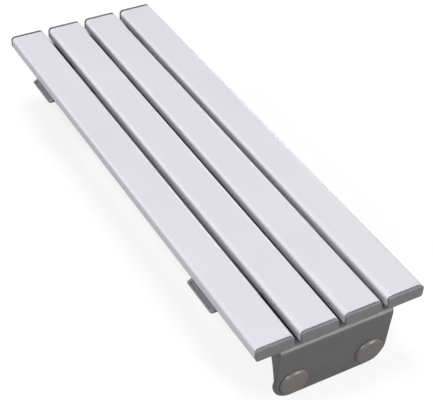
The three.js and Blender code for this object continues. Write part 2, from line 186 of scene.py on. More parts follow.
# Painted shadow: the floor's colour goes from its pale grey to a dark grey inside the patch.
floor_with_painted_shadow = add_node(
    floor_tree,
    "ShaderNodeMix",
    {"data_type": "RGBA"},
    {0: spread.outputs[0], 6: linear(painted_shadow_grey), 7: linear(floor_seen)},
)
floor_colour = add_node(
    floor_tree,
    "ShaderNodeMix",
    {"data_type": "RGBA"},
    {0: floor_view, 6: linear(floor_bounce), 7: floor_with_painted_shadow.outputs[2]},
)
floor_matt = add_node(floor_tree, "ShaderNodeBsdfDiffuse", inputs={"Color": floor_colour.outputs[2]})
# The floor's glow fades out over the painted shadow patch as well.
floor_shine = add_node(
    floor_tree, "ShaderNodeMath", {"operation": "MULTIPLY"}, {0: floor_view, 1: spread.outputs[0]}
)
floor_reach = add_node(floor_tree, "ShaderNodeVectorMath", {"operation": "LENGTH"}, {0: floor_place})
floor_glow = add_node(
    floor_tree,
    "ShaderNodeMapRange",
    {"interpolation_type": "SMOOTHSTEP"},
    {
        "Value": floor_reach.outputs["Value"],
        "From Min": near_floor,
        "From Max": far_floor,
        "To Min": floor_glow_near,
        "To Max": floor_glow_far,
    },
)
floor_strength = add_node(
    floor_tree,
    "ShaderNodeMath",
    {"operation": "MULTIPLY"},
    {0: floor_shine.outputs[0], 1: floor_glow.outputs[0]},
)
floor_light = add_node(
    floor_tree,
    "ShaderNodeEmission",
    inputs={"Color": linear("ffffff"), "Strength": floor_strength.outputs[0]},
)
floor_sum = add_node(
    floor_tree, "ShaderNodeAddShader", inputs={0: floor_matt.outputs[0], 1: floor_light.outputs[0]}
)
add_node(floor_tree, "ShaderNodeOutputMaterial", inputs={"Surface": floor_sum.outputs[0]})

bpy.ops.mesh.primitive_plane_add(size=floor_width, location=(0, 0, -floor_drop))
studio_floor = bpy.context.active_object
studio_floor.name = "studio_floor"
studio_floor.data.materials.append(floor_finish)

# Each lamp's heading from +Y and its rise, in degrees, its distance and its size in metres, and the light
# that it throws on a face square to it.
for name, heading, rise, distance, width, height, strength in (
    ("softbox_overhead", 0, 80, 2.4, 1.0, 1.0, 0.45),
    ("softbox_front_right", 155, 15, 2.4, 1.1, 1.3, 0.43),
    ("strip_light_front_left", 222, 26, 2.2, 0.8, 0.25, 0.29),
    ("softbox_left", 284, 20, 2.4, 0.6, 0.4, 0.25),
    ("softbox_back_left", 316, 20, 2.4, 0.6, 0.6, 0.11),
    ("softbox_back_right", 47, 16, 2.4, 0.5, 0.5, 0.14),
):
    level = distance * math.cos(math.radians(rise))
    toward = Vector(
        (
            level * math.sin(math.radians(heading)),
            level * math.cos(math.radians(heading)),
            distance * math.sin(math.radians(rise)),
        )
    )
    bpy.ops.object.light_add(type="AREA", location=light_target + toward)
    softbox = bpy.context.active_object
    softbox.name = name
    softbox.data.shape = "RECTANGLE"
    softbox.data.size = width
    softbox.data.size_y = height
    softbox.data.energy = strength * (math.pi * distance) ** 2
    softbox.rotation_euler = (-toward).to_track_quat("-Z", "Y").to_euler()


# Slats
# Four hollow box sections of rigid PVC, extruded with two webs inside and satin from the die. They are
# sawn to length and drilled below for the screws that come up through the crossbars.
slat_count = 4
slat_top_radius = 5 * mm
slat_bottom_radius = 3.5 * mm
slat_wall = 2.2 * mm
slat_web = 1.8 * mm
slat_cells = 3
cell_radius = 1 * mm
sawn_edge = 0.8 * mm
slat_hole_radius = 2.25 * mm
screw_spacing = 36 * mm
overrun = 1 * mm
top_round_steps = 7
bottom_round_steps = 5

ends = ("near", "far")
sides = ("left", "right")
Y, Z = 1, 2
parallel = 0.999


def alone(piece):
    """Back in object mode, with only this piece selected."""
    if bpy.context.mode != "OBJECT":
        bpy.ops.object.mode_set(mode="OBJECT")
    bpy.ops.object.select_all(action="DESELECT")
    if piece:
        piece.select_set(True)
        bpy.context.view_layer.objects.active = piece


def settled(name):
    """The active piece gets its name, and its place and turn go into its mesh."""
    piece = bpy.context.active_object
    piece.name = name
    piece.data.name = name
    bpy.ops.object.transform_apply(location=True, rotation=True, scale=True)
    return piece


def block(name, low, high, turn=(0, 0, 0)):
    """A box from its low corner to its high one, turned about its own middle."""
    alone(None)
    low, high = Vector(low), Vector(high)
    bpy.ops.mesh.primitive_cube_add(size=1, location=(low + high) / 2, rotation=turn, scale=high - low)
    return settled(name)


def drum(name, middle, radius, length, turn=(0, 0, 0), sides=64):
    """A round bar about its middle, upright unless it is turned."""
    alone(None)
    bpy.ops.mesh.primitive_cylinder_add(
        vertices=sides, radius=radius, depth=length, location=middle, rotation=turn
    )
    return settled(name)


def choose(piece, kind, test):
    """Edit mode on this piece, with only the points, edges or faces that pass the test selected."""
    alone(piece)
    bpy.ops.object.mode_set(mode="EDIT")
    bpy.ops.mesh.select_mode(type=kind)
    bpy.ops.mesh.select_all(action="DESELECT")
    mesh = bmesh.from_edit_mesh(piece.data)
    parts = {"VERT": mesh.verts, "EDGE": mesh.edges, "FACE": mesh.faces}[kind]
    for part in [part for part in parts if test(part)]:
        part.select_set(True)
    mesh.select_flush_mode()
    bmesh.update_edit_mesh(piece.data)


def centre(part):
    """The middle of an edge or a face."""
    return sum((point.co for point in part.verts), Vector()) / len(part.verts)


def runs_along(edge, axis):
    """Whether an edge is parallel to an axis."""
    run = edge.verts[1].co - edge.verts[0].co
    return abs(run[axis]) > parallel * run.length


def lies_at(part, axis, value, slack=0.01 * mm):
    """Whether all of an edge or a face lies at one place on an axis."""
    return all(abs(point.co[axis] - value) < slack for point in part.verts)


def combine(piece, others, operation="DIFFERENCE"):
    """Cuts the other solids from the piece, or joins them on; they are used up."""
    for other in others:
        alone(piece)
        step = piece.modifiers.new("combine", "BOOLEAN")
        step.operation = operation
        step.solver = "EXACT"
        step.object = other
        bpy.ops.object.modifier_apply(modifier=step.name)
        bpy.data.objects.remove(other)


def shade(piece, crease=32):
    """Smooth over the rounded edges, crisp at creases, and flat over the large faces."""
    alone(piece)
    bpy.ops.object.shade_smooth_by_angle(angle=math.radians(crease))
    step = piece.modifiers.new("even_shading", "WEIGHTED_NORMAL")
    step.keep_sharp = True
    bpy.ops.object.modifier_apply(modifier=step.name)


def copy_of(piece, name, move=(0, 0, 0), turned=False):
    """A copy with its own mesh, moved, or turned round to the board's other end."""
    alone(piece)
    bpy.ops.object.duplicate()
    bpy.context.active_object.location = move
    bpy.context.active_object.rotation_euler.z = math.pi if turned else 0
    return settled(name)


def fit(piece, node, body, finish):
    """The piece takes the place of its CAD node, moves with its body, and gets its finish."""
    alone(piece)
    piece.data.materials.clear()
    piece.data.materials.append(finish)
    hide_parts(node)
    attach(piece, body)


def new_finish(name):
    """A material with one Principled shader, its node tree, and the place on the piece in metres."""
    finish = bpy.data.materials.new(name)
    finish.use_nodes = True
    tree = finish.node_tree
    tree.nodes.clear()
    place = add_node(tree, "ShaderNodeTexCoord").outputs["Object"]
    shader = add_node(tree, "ShaderNodeBsdfPrincipled")
    add_node(tree, "ShaderNodeOutputMaterial", inputs={"Surface": shader.outputs[0]})
    return finish, tree, shader, place


def feed(tree, output, shader, socket):
    """Links an output to one of the shader's own sockets."""
    tree.links.new(output, shader.inputs[socket])


# Rigid PVC: opaque and cool white with a soft satin gloss. The die leaves faint lines along the length,
# 0.8 mm apart, and the tone drifts slightly over a hand's breadth.
slat_light = "e4e3eb"
slat_shade = "dcdbe4"
slat_ior = 1.53
slat_gloss_low = 0.27
slat_gloss_high = 0.35
die_line = 0.8 * mm
die_line_run = 260 * mm
die_line_height = 0.03 * mm
die_line_strength = 0.35
die_line_tone = 0.25
tone_drift = 120 * mm
handling_mark = 14 * mm

slat_finish, tree, shader, place = new_finish("extruded_rigid_pvc_satin")
shader.inputs["IOR"].default_value = slat_ior
drift = add_node(
    tree, "ShaderNodeTexNoise", inputs={"Vector": place, "Scale": 1 / tone_drift, "Detail": 2.0}
)
stretched = add_node(
    tree,
    "ShaderNodeMapping",
    inputs={"Vector": place, "Scale": (1 / die_line, 1 / die_line_run, 1 / die_line)},
)
lines = add_node(
    tree, "ShaderNodeTexNoise", inputs={"Vector": stretched.outputs[0], "Scale": 1.0, "Detail": 2.0}
)
tone = add_node(
    tree,
    "ShaderNodeMath",
    {"operation": "MULTIPLY_ADD"},
    {0: lines.outputs["Fac"], 1: die_line_tone, 2: drift.outputs["Fac"]},
)
colour = add_node(
    tree,
    "ShaderNodeMix",
    {"data_type": "RGBA"},
    {0: tone.outputs[0], 6: linear(slat_shade), 7: linear(slat_light)},
)
marks = add_node(
    tree, "ShaderNodeTexNoise", inputs={"Vector": place, "Scale": 1 / handling_mark, "Detail": 4.0}
)
gloss = add_node(
    tree,
    "ShaderNodeMapRange",
    inputs={"Value": marks.outputs["Fac"], "To Min": slat_gloss_low, "To Max": slat_gloss_high},
)
relief = add_node(
    tree,
    "ShaderNodeBump",
    inputs={"Height": lines.outputs["Fac"], "Strength": die_line_strength, "Distance": die_line_height},
)
feed(tree, colour.outputs[2], shader, "Base Color")
feed(tree, gloss.outputs[0], shader, "Roughness")
feed(tree, relief.outputs[0], shader, "Normal")

slat_low, slat_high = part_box("slat_1")
slat_width = slat_high.x - slat_low.x
slat_middle = (slat_low + slat_high) / 2
slat_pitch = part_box("slat_2")[0].x - slat_low.x
bar_y = [sum(corner.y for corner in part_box(f"crossbar_{end}")) / 2 for end in ends]

slat = block("slat_section_1", slat_low, slat_high)
choose(slat, "EDGE", lambda edge: runs_along(edge, Y) and centre(edge).z > slat_middle.z)
bpy.ops.mesh.bevel(offset=slat_top_radius, segments=top_round_steps, affect="EDGES")
choose(slat, "EDGE", lambda edge: runs_along(edge, Y) and lies_at(edge, Z, slat_low.z))
bpy.ops.mesh.bevel(offset=slat_bottom_radius, segments=bottom_round_steps, affect="EDGES")
choose(slat, "EDGE", lambda edge: lies_at(edge, Y, slat_low.y) or lies_at(edge, Y, slat_high.y))
bpy.ops.mesh.bevel(offset=sawn_edge, segments=2, affect="EDGES")

cell_width = (slat_width - 2 * slat_wall - (slat_cells - 1) * slat_web) / slat_cells
slat_bores = []
for cell in range(slat_cells):
    left = slat_low.x + slat_wall + cell * (cell_width + slat_web)
    bore = block(
        "cell_bore",
        (left, slat_low.y - overrun, slat_low.z + slat_wall),
        (left + cell_width, slat_high.y + overrun, slat_high.z - slat_wall),
    )
    choose(bore, "EDGE", lambda edge: runs_along(edge, Y))
    bpy.ops.mesh.bevel(offset=cell_radius, segments=3, affect="EDGES")
    slat_bores.append(bore)
for y in bar_y:
    for step in (-screw_spacing / 2, screw_spacing / 2):
        hole_middle = (slat_middle.x, y + step, slat_low.z)
        slat_bores.append(
            drum("screw_bore", hole_middle, slat_hole_radius, 2 * (slat_wall + overrun), sides=24)
        )
combine(slat, slat_bores)
shade(slat)

slats = [slat] + [
    copy_of(slat, f"slat_section_{index + 1}", (index * slat_pitch, 0, 0))
    for index in range(1, slat_count)
]
for index, piece in enumerate(slats):
    fit(piece, f"slat_{index + 1}", "board", slat_finish)


# End caps
# One grey cap closes each end of each slat. A lip as wide as the slat covers the sawn end, and three
# hollow plugs, pressed into the slat's cells, hold it.
cap_lip = 4 * mm
cap_front_edge = 1 * mm
cap_back_edge = 0.25 * mm
cap_groove_width = 1.8 * mm
cap_groove_depth = 1.5 * mm
plug_clearance = 0.25 * mm
plug_wall = 1.6 * mm
plug_lead_in = 0.8 * mm
melt_flow = 28 * mm
grain_tone = 0.35
grain_strength = 0.5


def moulded_finish(name, dark, light, grain, grain_height, gloss_low, gloss_high, ior):
    """A moulded plastic: an even colour that flows slightly, over the fine grain of its mould."""
    finish, tree, shader, place = new_finish(name)
    shader.inputs["IOR"].default_value = ior
    flow = add_node(
        tree, "ShaderNodeTexNoise", inputs={"Vector": place, "Scale": 1 / melt_flow, "Detail": 3.0}
    )
    pores = add_node(
        tree, "ShaderNodeTexNoise", inputs={"Vector": place, "Scale": 1 / grain, "Detail": 2.0}
    )
    tone = add_node(
        tree,
        "ShaderNodeMath",
        {"operation": "MULTIPLY_ADD"},
        {0: pores.outputs["Fac"], 1: grain_tone, 2: flow.outputs["Fac"]},
    )
    colour = add_node(
        tree,
        "ShaderNodeMix",
        {"data_type": "RGBA"},
        {0: tone.outputs[0], 6: linear(dark), 7: linear(light)},
    )
    gloss = add_node(
        tree,
        "ShaderNodeMapRange",
        inputs={"Value": flow.outputs["Fac"], "To Min": gloss_low, "To Max": gloss_high},
    )
    relief = add_node(
        tree,
        "ShaderNodeBump",
        inputs={"Height": pores.outputs["Fac"], "Strength": grain_strength, "Distance": grain_height},
    )
    feed(tree, colour.outputs[2], shader, "Base Color")
    feed(tree, gloss.outputs[0], shader, "Roughness")
    feed(tree, relief.outputs[0], shader, "Normal")
    return finish


# Polypropylene from a spark-eroded mould: mid grey, satin, with a grain 0.7 mm across.
cap_finish = moulded_finish(
    "moulded_polypropylene_mid_grey",
    dark="787679",
    light="848285",
    grain=0.7 * mm,
    grain_height=0.05 * mm,
    gloss_low=0.28,
    gloss_high=0.36,
    ior=1.49,
)

cap_low, cap_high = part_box("end_cap_near_1")
lip_back = cap_low.y + cap_lip

groove_front = lip_back - cap_groove_width
cap = block("cap_moulding_near_1", cap_low, (cap_high.x, groove_front, cap_high.z))
choose(cap, "EDGE", lambda edge: runs_along(edge, Y) and lies_at(edge, Z, cap_high.z))
bpy.ops.mesh.bevel(offset=slat_top_radius, segments=top_round_steps, affect="EDGES")
choose(cap, "EDGE", lambda edge: runs_along(edge, Y) and lies_at(edge, Z, cap_low.z))
bpy.ops.mesh.bevel(offset=slat_bottom_radius, segments=bottom_round_steps, affect="EDGES")
choose(cap, "EDGE", lambda edge: lies_at(edge, Y, cap_low.y))
bpy.ops.mesh.bevel(offset=cap_front_edge, segments=4, affect="EDGES")
choose(cap, "EDGE", lambda edge: lies_at(edge, Y, groove_front))
bpy.ops.mesh.bevel(offset=cap_back_edge, segments=2, affect="EDGES")
choose(cap, "FACE", lambda face: lies_at(face, Y, groove_front))
bpy.ops.mesh.inset(thickness=cap_groove_depth - cap_back_edge)
bpy.ops.mesh.extrude_region_move(TRANSFORM_OT_translate={"value": (0, cap_groove_width, 0)})

plugs = []
for cell in range(slat_cells):
    left = slat_low.x + slat_wall + cell * (cell_width + slat_web) + plug_clearance
    plug = block(
        "plug",
        (left, lip_back - overrun, slat_low.z + slat_wall + plug_clearance),
        (left + cell_width - 2 * plug_clearance, cap_high.y, slat_high.z - slat_wall - plug_clearance),
    )
    choose(plug, "EDGE", lambda edge: runs_along(edge, Y))
    bpy.ops.mesh.bevel(offset=cell_radius, segments=3, affect="EDGES")
    choose(plug, "EDGE", lambda edge: lies_at(edge, Y, cap_high.y))
    bpy.ops.mesh.bevel(offset=plug_lead_in, segments=2, affect="EDGES")
    choose(plug, "FACE", lambda face: lies_at(face, Y, cap_high.y))
    bpy.ops.mesh.inset(thickness=plug_wall - plug_lead_in)
    bpy.ops.mesh.extrude_region_move(TRANSFORM_OT_translate={"value": (0, lip_back - cap_high.y, 0)})
    plugs.append(plug)
combine(cap, plugs, "UNION")
shade(cap)

near_caps = [cap] + [
    copy_of(cap, f"cap_moulding_near_{index + 1}", (index * slat_pitch, 0, 0))
    for index in range(1, slat_count)
]
far_caps = [
    copy_of(near_caps[slat_count - 1 - index], f"cap_moulding_far_{index + 1}", turned=True)
    for index in range(slat_count)
]
for end, caps in zip(ends, (near_caps, far_caps)):
    for index, piece in enumerate(caps):
        fit(piece, f"end_cap_{end}_{index + 1}", "board", cap_finish)


# Crossbars
# Two flat moulded bars carry the slats. Each flares below the outer slats to a lip, with a shallow panel
# sunk in the flare, and two cheeks underneath guide the bracket's arm.
bar_lip_height = 1.2 * mm
bar_neck_height = 0.8 * mm
bar_neck_inset = 0.8 * mm
bar_neck_step = 0.4 * mm
bar_corner_radius = 3 * mm
bar_edge = 0.3 * mm
bar_panel_frame = 1.3 * mm
bar_panel_draft = 0.5 * mm
bar_panel_depth = 2 * mm
cheek_thickness = 4 * mm
cheek_from_middle = 76.6 * mm
screw_head_radius = 4 * mm
screw_head_height = 2.2 * mm
screw_radius = 2 * mm
bolt_head_radius = 7 * mm
bolt_head_height = 2.2 * mm
bolt_neck = 6.4 * mm
bore_gap = 0.25 * mm
seat_gap = 0.3 * mm
upright = 0.9
flare_tilt = 0.3
flare_least_area = 100 * mm * mm


def faces_up(face):
    """Whether a face looks upwards."""
    return face.normal.z > upright


bar_low, bar_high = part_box("crossbar_near")
bar_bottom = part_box("bracket_near")[1].z + seat_gap
bar_lip_top = bar_bottom + bar_lip_height
flare_rise = bar_high.z - bar_neck_height - bar_lip_top
neck_half_length = -slat_low.x - bar_neck_inset
neck_shares = (neck_half_length / bar_high.x, 1 - 2 * bar_neck_step / (bar_high.y - bar_low.y), 1)
clamp_x = sum(corner.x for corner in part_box("clamp_bolt_near_right")) / 2

crossbar = block(
    "crossbar_moulding_near", (bar_low.x, bar_low.y, bar_bottom), (bar_high.x, bar_high.y, bar_lip_top)
)
choose(crossbar, "EDGE", lambda edge: runs_along(edge, Z))
bpy.ops.mesh.bevel(offset=bar_corner_radius, segments=6, affect="EDGES")
choose(crossbar, "FACE", lambda face: lies_at(face, Z, bar_lip_top))
bpy.ops.mesh.extrude_region_move(TRANSFORM_OT_translate={"value": (0, 0, flare_rise)})
bpy.ops.transform.resize(value=neck_shares, center_override=(0, bar_y[0], 0))
bpy.ops.mesh.extrude_region_move(TRANSFORM_OT_translate={"value": (0, 0, bar_neck_height)})
choose(crossbar, "EDGE", lambda edge: lies_at(edge, Z, bar_bottom) or lies_at(edge, Z, bar_lip_top))
bpy.ops.mesh.bevel(offset=bar_edge, segments=2, affect="EDGES")
choose(
    crossbar,
    "FACE",
    lambda face: abs(face.normal.x) > flare_tilt
    and face.normal.z > flare_tilt
    and face.calc_area() > flare_least_area,
)
bpy.ops.mesh.inset(thickness=bar_panel_frame)
bpy.ops.mesh.inset(thickness=bar_panel_draft, depth=-bar_panel_depth)

cheeks = []
for side in (-1, 1):
    inner, outer = sorted((side * cheek_from_middle, side * (cheek_from_middle + cheek_thickness)))
    cheek = block(
        "cheek",
        (inner, bar_low.y + bar_neck_step, bar_low.z),
        (outer, bar_high.y - bar_neck_step, bar_lip_top),
    )
    choose(cheek, "EDGE", lambda edge: lies_at(edge, Z, bar_low.z) or runs_along(edge, Z))
    bpy.ops.mesh.bevel(offset=2 * bar_edge, segments=2, affect="EDGES")
    cheeks.append(cheek)
combine(crossbar, cheeks, "UNION")

bar_bores = []
sink_height = bar_bottom + (seat_gap - overrun) / 2
narrowing = (screw_radius + bore_gap) / (screw_head_radius + bore_gap)
for index in range(slat_count):
    for step in (-screw_spacing / 2, screw_spacing / 2):
        sink_middle = (slat_middle.x + index * slat_pitch, bar_y[0] + step, sink_height)
        sink = drum("screw_sink", sink_middle, screw_head_radius + bore_gap, seat_gap + overrun, sides=32)
        choose(sink, "FACE", faces_up)
        bpy.ops.mesh.extrude_region_move(TRANSFORM_OT_translate={"value": (0, 0, screw_head_height)})
        bpy.ops.transform.resize(value=(narrowing, narrowing, 1), center_override=sink_middle)
        bpy.ops.mesh.extrude_region_move(TRANSFORM_OT_translate={"value": (0, 0, bar_high.z - bar_bottom)})
        bar_bores.append(sink)
for side in (-1, 1):
    pocket_bottom = bar_high.z - bolt_head_height - seat_gap
    pocket_top = bar_high.z + overrun
    pocket_middle = (side * clamp_x, bar_y[0], (pocket_bottom + pocket_top) / 2)
    bar_bores.append(
        drum("head_pocket", pocket_middle, bolt_head_radius + bore_gap, pocket_top - pocket_bottom)
    )
    half_neck = bolt_neck / 2 + bore_gap
    bar_bores.append(
        block(
            "neck_hole",
            (side * clamp_x - half_neck, bar_y[0] - half_neck, bar_low.z),
            (side * clamp_x + half_neck, bar_y[0] + half_neck, bar_high.z),
        )
    )
combine(crossbar, bar_bores)
shade(crossbar)
crossbars = (crossbar, copy_of(crossbar, "crossbar_moulding_far", turned=True))
for end, piece in zip(ends, crossbars):
    fit(piece, f"crossbar_{end}", "board", cap_finish)


# Slat screws
# Sixteen countersunk steel screws, zinc plated, with a cross recess. Two are driven up through the
# crossbar into the floor of each slat.
screw_tip_length = 2.5 * mm
screw_point = 0.3 * mm
recess_arm = 0.8 * mm
recess_width = 4.0 * mm
recess_depth = 1.4 * mm
recess_narrowing = 0.45
rows = (("outer", -1), ("inner", 1))

# Zinc plating over turned steel: a bright bluish grey metal, cloudy at a few millimetres, with the
# lathe's and the header's fine marks 0.4 mm apart.
zinc_dark = "a9acb0"
zinc_light = "c9cccf"
zinc_gloss_low = 0.24
zinc_gloss_high = 0.44
plating_cloud = 3 * mm
tool_mark = 0.4 * mm
tool_mark_height = 0.02 * mm
tool_mark_strength = 0.3

zinc_finish, tree, shader, place = new_finish("zinc_plated_steel")
shader.inputs["Metallic"].default_value = 1.0
cloud = add_node(
    tree, "ShaderNodeTexNoise", inputs={"Vector": place, "Scale": 1 / plating_cloud, "Detail": 3.0}
)
colour = add_node(
    tree,
    "ShaderNodeMix",
    {"data_type": "RGBA"},
    {0: cloud.outputs["Fac"], 6: linear(zinc_dark), 7: linear(zinc_light)},
)
gloss = add_node(
    tree,
    "ShaderNodeMapRange",
    inputs={"Value": cloud.outputs["Fac"], "To Min": zinc_gloss_low, "To Max": zinc_gloss_high},
)
marks = add_node(
    tree, "ShaderNodeTexNoise", inputs={"Vector": place, "Scale": 1 / tool_mark, "Detail": 1.0}
)
relief = add_node(
    tree,
    "ShaderNodeBump",
    inputs={
        "Height": marks.outputs["Fac"],
        "Strength": tool_mark_strength,
        "Distance": tool_mark_height,
    },
)
feed(tree, colour.outputs[2], shader, "Base Color")
feed(tree, gloss.outputs[0], shader, "Roughness")
feed(tree, relief.outputs[0], shader, "Normal")

screw_low, screw_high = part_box("slat_screw_near_1_outer")
screw_place = (screw_low + screw_high) / 2
alone(None)
bpy.ops.mesh.primitive_cone_add(
    vertices=32,
    radius1=screw_head_radius,
    radius2=screw_radius,
    depth=screw_head_height,
    location=(screw_place.x, screw_place.y, screw_low.z + screw_head_height / 2),
)
screw = settled("slat_fixing_near_1_outer")
choose(screw, "FACE", faces_up)
shank_rise = screw_high.z - screw_tip_length - screw_low.z - screw_head_height
bpy.ops.mesh.extrude_region_move(TRANSFORM_OT_translate={"value": (0, 0, shank_rise)})
bpy.ops.mesh.extrude_region_move(TRANSFORM_OT_translate={"value": (0, 0, screw_tip_length)})
point_share = screw_point / screw_radius
bpy.ops.transform.resize(value=(point_share, point_share, 1), center_override=screw_place)
recess_arms = []
recess_middle = Vector((screw_place.x, screw_place.y, screw_low.z))
half_recess = Vector((recess_width / 2, recess_arm / 2, recess_depth))
for turn in (0, math.pi / 2):
    arm = block("recess_arm", recess_middle - half_recess, recess_middle + half_recess, (0, 0, turn))
    choose(arm, "FACE", faces_up)
    bpy.ops.transform.resize(value=(recess_narrowing, recess_narrowing, 1), center_override=screw_place)
    recess_arms.append(arm)
combine(screw, recess_arms)
shade(screw)

near_screws = {}
for index in range(slat_count):
    for row, side in rows:
        move = (index * slat_pitch, screw_spacing if row == "inner" else 0, 0)
        name = f"slat_fixing_near_{index + 1}_{row}"
        near_screws[index, row] = copy_of(screw, name, move) if any(move) else screw
far_screws = {
    (index, row): copy_of(
        near_screws[slat_count - 1 - index, row], f"slat_fixing_far_{index + 1}_{row}", turned=True
    )
    for index, row in near_screws
}
for end, screws in zip(ends, (near_screws, far_screws)):
    for (index, row), piece in screws.items():
        fit(piece, f"slat_screw_{end}_{index + 1}_{row}", "board", zinc_finish)


# Sliding brackets
# One moulding under each end: a flat arm that slides along the crossbar's bolts, folded down into a plate
# with two round lobes. The outer face rolls over at its outline, webs and ribs stiffen the fold behind,
# and a rim stands round each lobe.
lean = math.radians(4.2)
bracket_wall = 4 * mm
plate_half_width = 76 * mm
plate_height = 87 * mm
fold_radius = 9 * mm
lobe_radius = 25 * mm
bracket_edge = 0.9 * mm
face_edge = 2.6 * mm
slot_radius = 3.5 * mm
slot_reach = (34 * mm, 121 * mm)
buffer_x = 51 * mm
stem_hole_radius = 4.95 * mm
rim_outer = 24.6 * mm
rim_inner = 21.5 * mm
rim_height = 1.4 * mm
gusset = {"thickness": 3.5 * mm, "depth": 26 * mm, "height": 54 * mm}
rib = {"thickness": 2.6 * mm, "depth": 15 * mm, "height": 33 * mm}
web_hollow = 0.04
web_root_share = 0.85
web_foot_share = 0.9
sharp_corner = math.radians(60)
edge_corner = math.radians(45)
point_slack = 0.1 * mm
face_slack = 0.02 * mm
weld_distance = 0.001 * mm
slot_flat = 0.01 * mm

# Glass-filled nylon: dark grey, with a dull sheen, a coarser grain than the caps' and a slight cloud where
# the glass comes to the surface.
bracket_finish = moulded_finish(
    "moulded_glass_filled_nylon_dark_grey",
    dark="605e60",
    light="706e70",
    grain=0.9 * mm,
    grain_height=0.07 * mm,
    gloss_low=0.28,
    gloss_high=0.38,
    ior=1.53,
)

bracket_low, bracket_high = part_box("bracket_near")
fold_y = bracket_low.y + fold_radius
fold_z = bracket_high.z - fold_radius
fold_run = fold_radius * math.tan(math.pi / 4 + lean / 2)
apex = Vector((0, fold_y - fold_run, bracket_high.z))
down_plate = Vector((0, math.sin(lean), -math.cos(lean)))
behind_plate = Vector((0, math.cos(lean), math.sin(lean)))


def on_plate(x, down, behind):
    """A place by its distance across, down the plate's face from the fold's corner, and behind the face."""
    return Vector((x, 0, 0)) + apex + down_plate * down + behind_plate * behind


arm_length = bracket_high.y - fold_y
alone(None)
bpy.ops.mesh.primitive_plane_add(size=1, location=(0, (fold_y + bracket_high.y) / 2, bracket_high.z))
bpy.context.active_object.scale = (2 * plate_half_width, arm_length, 1)
bracket = settled("bracket_moulding_near")
choose(bracket, "EDGE", lambda edge: lies_at(edge, Y, fold_y))
bpy.ops.mesh.spin(steps=14, angle=math.pi / 2 + lean, center=(0, fold_y, fold_z), axis=(-1, 0, 0))
bpy.ops.mesh.extrude_region_move(TRANSFORM_OT_translate={"value": down_plate * (plate_height - fold_run)})
choose(bracket, "VERT", lambda point: abs(point.co.z - bracket_low.z) < point_slack)
bpy.ops.mesh.bevel(offset=lobe_radius, segments=16, affect="VERTICES")
choose(bracket, "FACE", lambda face: True)
bpy.ops.mesh.remove_doubles(threshold=weld_distance)
alone(bracket)
if bracket.data.polygons[0].normal.z < 0:
    bracket.data.flip_normals()
wall = bracket.modifiers.new("wall", "SOLIDIFY")
wall.thickness = bracket_wall
wall.offset = -1
wall.use_even_offset = True
bpy.ops.object.modifier_apply(modifier=wall.name)


def on_outer_face(point):
    """Whether a point lies on the arm's top, the fold's outside or the plate's face."""
    from_fold = Vector((0, point.co.y - fold_y, point.co.z - fold_z))
    misses = (
        abs(point.co.z - bracket_high.z),
        abs((point.co - apex).dot(behind_plate)),
        abs(from_fold.length - fold_radius),
    )
    return min(misses) < face_slack


choose(
    bracket,
    "EDGE",
    lambda edge: edge.calc_face_angle() > sharp_corner and all(on_outer_face(point) for point in edge.verts),
)
bpy.ops.mesh.bevel(offset=face_edge, segments=5, affect="EDGES")


def web(x, thickness, depth, height):
    """A web in the fold's corner, cut to a hollow curve that runs out on the plate's back."""
    root = web_root_share * bracket_wall
    solid = block("web", (x - thickness / 2, root, -height), (x + thickness / 2, depth, -root))
    top = Vector((x, depth, -bracket_wall))
    foot = Vector((x, web_foot_share * bracket_wall, -height))
    chord = foot - top
    sag = web_hollow * chord.length
    hollow_radius = chord.length_squared / (8 * sag) + sag / 2
    away = Vector((0, -chord.z, chord.y)).normalized()
    if away.y < 0:
        away = -away
    hollow_middle = (top + foot) / 2 + away * (hollow_radius - sag)
    hollow = drum("hollow", hollow_middle, hollow_radius, 2 * thickness, (0, math.pi / 2, 0), sides=360)
    combine(solid, [hollow])
    alone(solid)
    solid.rotation_euler.x = lean
    solid.location = apex
    return settled("web")


def is_drum_end(face):
    """Whether a face is the flat end of a drum, and not one of its four-cornered sides."""
    return len(face.verts) > 4


webs = [web(side * (plate_half_width - gusset["thickness"] / 2), **gusset) for side in (-1, 1)]
webs += [web(x, **rib) for x in (-buffer_x, 0, buffer_x)]
for side in (-1, 1):
    rim = drum(
        "lobe_rim",
        on_plate(side * buffer_x, plate_height - lobe_radius, bracket_wall + (rim_height - overrun) / 2),
        rim_outer,
        rim_height + overrun,
        (math.pi / 2 + lean, 0, 0),
    )
    choose(rim, "FACE", is_drum_end)
    bpy.ops.mesh.inset(thickness=rim_outer - rim_inner)
    bpy.ops.mesh.bridge_edge_loops()
    webs.append(rim)
combine(bracket, webs, "UNION")

bracket_bores = []
for side in (-1, 1):
    slot = block(
        "arm_slot",
        (side * clamp_x - slot_radius, cap_low.y + slot_reach[0], bracket_high.z - bracket_wall - overrun),
        (side * clamp_x + slot_radius, cap_low.y + slot_reach[1], bracket_high.z + overrun),
    )
    choose(slot, "EDGE", lambda edge: runs_along(edge, Z))
    bpy.ops.mesh.bevel(offset=slot_radius - slot_flat, segments=10, affect="EDGES")
    bracket_bores.append(slot)
    stem_place = on_plate(side * buffer_x, plate_height - lobe_radius, bracket_wall / 2)
    across_plate = (math.pi / 2 + lean, 0, 0)
    bracket_bores.append(
        drum("stem_hole", stem_place, stem_hole_radius, 2 * bracket_wall, across_plate, sides=48)
    )
combine(bracket, bracket_bores)
alone(bracket)
rounded = bracket.modifiers.new("rounded", "BEVEL")
rounded.width = bracket_edge
rounded.segments = 3
rounded.limit_method = "ANGLE"
rounded.angle_limit = edge_corner
bpy.ops.object.modifier_apply(modifier=rounded.name)
shade(bracket)
brackets = (bracket, copy_of(bracket, "bracket_moulding_far", turned=True))
for end, piece in zip(ends, brackets):
    fit(piece, f"bracket_{end}", f"{end}_bracket", bracket_finish)


